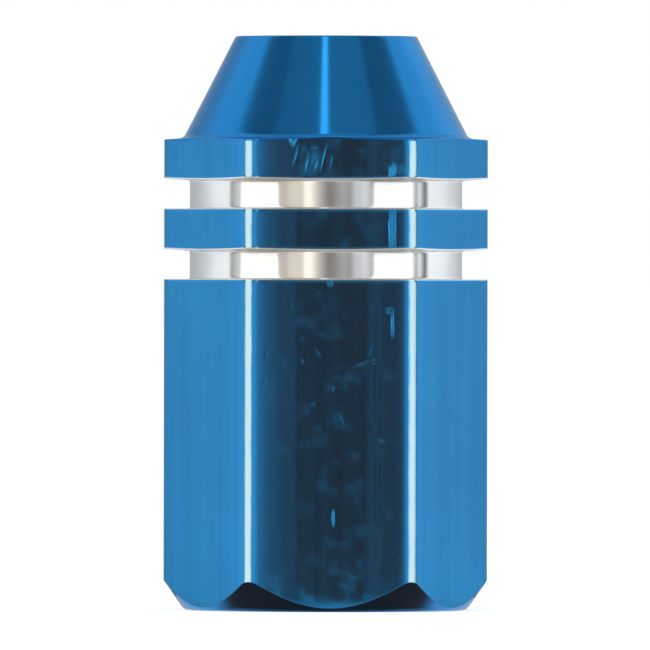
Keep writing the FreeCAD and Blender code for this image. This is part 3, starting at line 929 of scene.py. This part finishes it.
def studioDirection(azimuth, height):
    turn, lift = math.radians(azimuth + studio["cameraAzimuth"]), math.radians(height)
    return Vector((math.sin(turn) * math.cos(lift), -math.cos(turn) * math.cos(lift), math.sin(lift)))


def tentTone(azimuth, height):
    heights = sorted(tones)
    levels = [np.interp(azimuth, *zip(*tones[h])) for h in heights]
    warm = max(0.0, 1 - abs(azimuth - studio["warmAzimuth"]) / studio["warmReach"])
    warm *= float(np.interp(abs(height), *zip(*studio["warmHeights"])))
    cool, warmPaper = toLinear(studio["coolPaper"]), toLinear(studio["warmPaper"])
    level = float(np.interp(height, heights, levels))
    return [level * (c + (w - c) * warm) for c, w in zip(cool[:3], warmPaper[:3])] + [1.0]


def addReflected(name, mesh, shades):
    # Paper that is seen in reflections only, with a shade for each point of its mesh
    shade = mesh.attributes.new("shade", "FLOAT_COLOR", "POINT")
    shade.data.foreach_set("color", np.array(shades, dtype=np.float32).ravel())
    material, tree = startMaterial(f"{name} paper")
    pale = addNode(tree, "ShaderNodeAttribute", attribute_name="shade")
    endMaterial(tree, addNode(tree, "ShaderNodeEmission", {"Color": pale.outputs["Color"], "Strength": 1.0}))
    paper = addPiece(name, mesh, [material])
    for ray in ("camera", "diffuse", "transmission", "volume_scatter", "shadow"):
        setattr(paper, f"visible_{ray}", False)
    return paper


def makeTent():
    # A tent of paper round the object
    (step, rise), fine, (left, right) = studio["tentStep"], studio["tentFineStep"], studio["tentFineReach"]
    spans = (-180, left, step), (left, right, fine), (right, 180, step)
    azimuths = np.concatenate([np.arange(*span) for span in spans])
    heights = np.arange(90 - rise, rise / 2 - 90, -rise)
    middle, radius = Vector((0, 0, studio["middleHeight"])), studio["tentRadius"]
    rings = np.array([[middle + studioDirection(a, h) * radius for a in azimuths] for h in heights])
    poles = [middle + Vector((0, 0, radius)), middle - Vector((0, 0, radius))]
    shades = [tentTone(a, h) for h in heights for a in azimuths] + [tentTone(0, 90), tentTone(0, -90)]
    return addReflected("tent", skinMesh("tent", rings, poles), shades)


def makeNearFloor():
    # The floor round the cap as its sides show it from above, darker where the cap shades it
    outline = [(radius, studio["nearFloorHeight"]) for radius, _ in studio["nearFloor"][::-1]]
    rings = turnedRings(outline, studio["nearFloorColumns"])
    shades = [(level, level, level, 1.0) for _, level in studio["nearFloor"][::-1] for _ in rings[0]]
    return addReflected("nearFloor", skinMesh("nearFloor", rings), shades)


def makeFloor():
    half = studio["floorHalf"] * mm
    mesh = bpy.data.meshes.new("floor")
    mesh.from_pydata([(-half, -half, 0), (half, -half, 0), (half, half, 0), (-half, half, 0)], [], [(0, 1, 2, 3)])
    material, tree = startMaterial("floor paper")
    path = addNode(tree, "ShaderNodeLightPath")
    grain = addNode(tree, "ShaderNodeTexNoise", {
        "Vector": placeInMm(tree), "Scale": studio["floorGrainScale"], "Detail": 3.0})
    bump = addNode(tree, "ShaderNodeBump", {
        "Strength": 0.1, "Distance": studio["floorGrainDepth"] * mm, "Height": grain})
    matt = addNode(tree, "ShaderNodeBsdfDiffuse", {"Color": toLinear(studio["floorColour"]), "Normal": bump})
    seen = addNode(tree, "ShaderNodeMath", {0: path.outputs["Is Camera Ray"], 1: studio["floorGlow"]},
                   operation="MULTIPLY")
    glow = addNode(tree, "ShaderNodeEmission", {"Color": (1, 1, 1, 1), "Strength": seen})
    paper = addNode(tree, "ShaderNodeAddShader", {0: matt, 1: glow})
    # from below the floor is clear, so that the mouth can be looked into
    clear = addNode(tree, "ShaderNodeBsdfTransparent")
    back = addNode(tree, "ShaderNodeNewGeometry").outputs["Backfacing"]
    endMaterial(tree, addNode(tree, "ShaderNodeMixShader", {0: back, 1: paper, 2: clear}))
    floor = addPiece("floor", mesh, [material])
    floor.visible_glossy = False       # the tent is what the metal shows
    return floor


def makeWorld():
    world = bpy.data.worlds.new("studio")
    bpy.context.scene.world = world
    world.use_nodes = True
    tree = world.node_tree
    tree.nodes.clear()
    path = addNode(tree, "ShaderNodeLightPath")
    seen = path.outputs["Is Camera Ray"]
    for ray in ("Is Glossy Ray", "Is Transmission Ray"):
        seen = addNode(tree, "ShaderNodeMath", {0: seen, 1: path.outputs[ray]}, operation="MAXIMUM")
    level = addNode(tree, "ShaderNodeMapRange", {0: seen, 3: studio["ambient"], 4: studio["background"]})
    backdrop = addNode(tree, "ShaderNodeBackground", {"Color": (1, 1, 1, 1), "Strength": level})
    addNode(tree, "ShaderNodeOutputWorld", {"Surface": backdrop})


def makeLights():
    for number, (azimuth, height, width, length, distance, level) in enumerate(studio["lights"], start=1):
        light = bpy.data.lights.new(f"softLight{number}", "AREA")
        light.shape = "RECTANGLE"
        light.size, light.size_y = width * mm, length * mm
        light.energy = level * math.pi * light.size * light.size_y
        lamp = addObject(light.name, light)
        outwards = studioDirection(azimuth, height)
        lamp.location = outwards * distance * mm + Vector((0, 0, studio["middleHeight"] * mm))
        lamp.rotation_euler = outwards.to_track_quat("Z", "Y").to_euler()
        lamp.visible_camera = False


def makeCamera():
    camera = addObject("camera", bpy.data.cameras.new("camera"))
    camera.data.lens, camera.data.sensor_width = studio["lens"], 36.0
    camera.data.shift_x, camera.data.shift_y = studio["shift"]
    camera.data.clip_start, camera.data.clip_end = studio["clip"]
    outwards = studioDirection(0, 0)
    camera.location = outwards * studio["cameraDistance"] * mm + Vector((0, 0, studio["cameraHeight"] * mm))
    turns = [Matrix.Rotation(math.radians(studio["cameraAzimuth"]), 4, "Z"),
             Matrix.Rotation(math.radians(90 + studio["pitch"]), 4, "X"),
             Matrix.Rotation(math.radians(studio["roll"]), 4, "Z")]
    camera.rotation_euler = (turns[0] @ turns[1] @ turns[2]).to_euler()
    bpy.context.scene.camera = camera


makeFloor()
makeNearFloor()
makeTent()
makeWorld()
makeLights()
makeCamera()
bpy.context.scene.view_settings.view_transform = "Standard"
print("studio ready")
